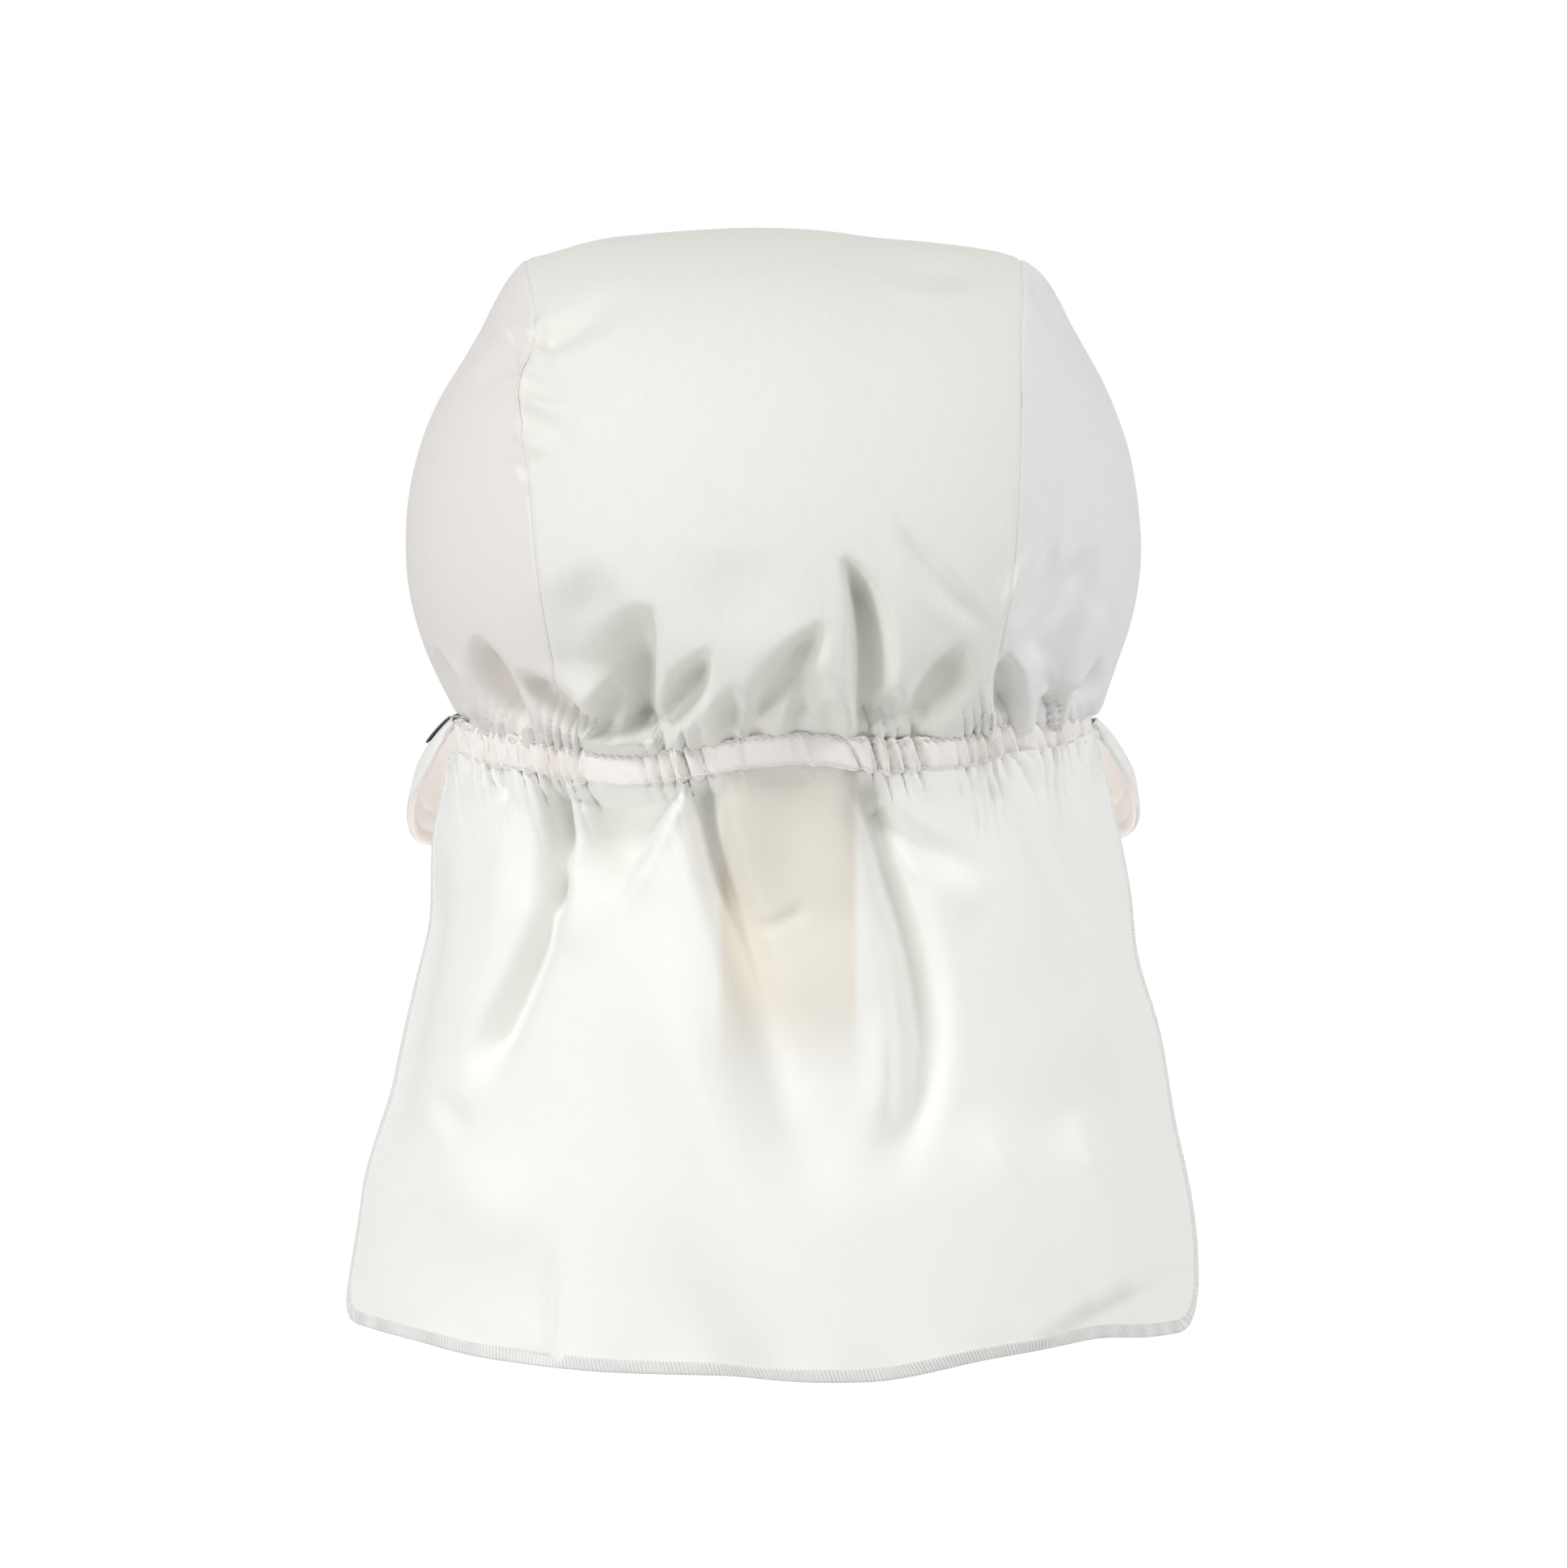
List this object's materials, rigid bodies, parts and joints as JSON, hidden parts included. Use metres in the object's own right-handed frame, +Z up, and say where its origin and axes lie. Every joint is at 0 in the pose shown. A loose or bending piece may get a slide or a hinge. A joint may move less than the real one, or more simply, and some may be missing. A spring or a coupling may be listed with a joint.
{
  "type": "sun cap with neck flap",
  "caption": "Child's soft cotton sun cap with a puffed panelled crown, elastic nape casing, turned-down visor and a gathered flap that shades the neck.",
  "frame": {"origin": "centre of the head opening, half way up the elastic casing", "axes": "+Z up through the crown, +Y the way the wearer looks, +X the right hand side from behind"},
  "size_m": [0.205, 0.2436, 0.2706],
  "materials": {
    "crown_cotton": "fine plain weave cotton with a soft sheen",
    "flap_cotton": "fine plain weave cotton, gathered, one layer",
    "visor_cotton": "fine plain weave cotton, two layers over an interlining",
    "casing_cotton": "shirred cotton casing",
    "interlining": "stiff non-woven interlining",
    "elastic": "braided elastic tape",
    "sewing_thread": "polyester sewing and overlock thread",
    "sweatband_cotton": "plain cotton tape",
    "dark_label": "woven satin label, bare",
    "pale_label": "printed-tape satin, bare"
  },
  "bodies": {
    "cap": {"crown_centre_panel": "crown_cotton", "crown_left_panel": "crown_cotton", "crown_right_panel": "crown_cotton", "left_seam_overlock": "sewing_thread", "right_seam_overlock": "sewing_thread", "elastic_casing": "casing_cotton", "elastic_tape": "elastic", "casing_upper_stitching": "sewing_thread", "casing_lower_stitching": "sewing_thread", "left_elastic_bartack": "sewing_thread", "right_elastic_bartack": "sewing_thread", "flap_seam_overlock": "sewing_thread", "sweatband": "sweatband_cotton", "sweatband_stitching": "sewing_thread", "visor_seam_overlock": "sewing_thread", "visor_upper_cloth_sides": "visor_cotton", "visor_interlining_sides": "interlining", "visor_lower_cloth_sides": "visor_cotton", "visor_topstitching_sides": "sewing_thread", "side_label": "dark_label", "side_label_stitching": "sewing_thread"},
    "visor_front": {"visor_upper_cloth_front": "visor_cotton", "visor_interlining_front": "interlining", "visor_lower_cloth_front": "visor_cotton", "visor_topstitching_front": "sewing_thread"},
    "neck_flap": {"neck_flap": "flap_cotton", "neck_flap_overlock": "sewing_thread"},
    "care_label": {"care_label": "pale_label"}
  },
  "joints": [
    {"name": "visor_turn_up", "type": "hinge", "parent": "cap", "child": "visor_front", "pos_m": [0, 0.09, 0.0043], "axis": [1, 0, 0], "range_deg": [0, 60]},
    {"name": "flap_lift", "type": "hinge", "parent": "cap", "child": "neck_flap", "pos_m": [0, -0.0834, -0.0042], "axis": [-1, 0, 0], "range_deg": [0, 50]},
    {"name": "care_label_swing", "type": "hinge", "parent": "cap", "child": "care_label", "pos_m": [0, -0.0775, -0.0044], "axis": [1, 0, 0], "range_deg": [0, 50]}
  ]
}
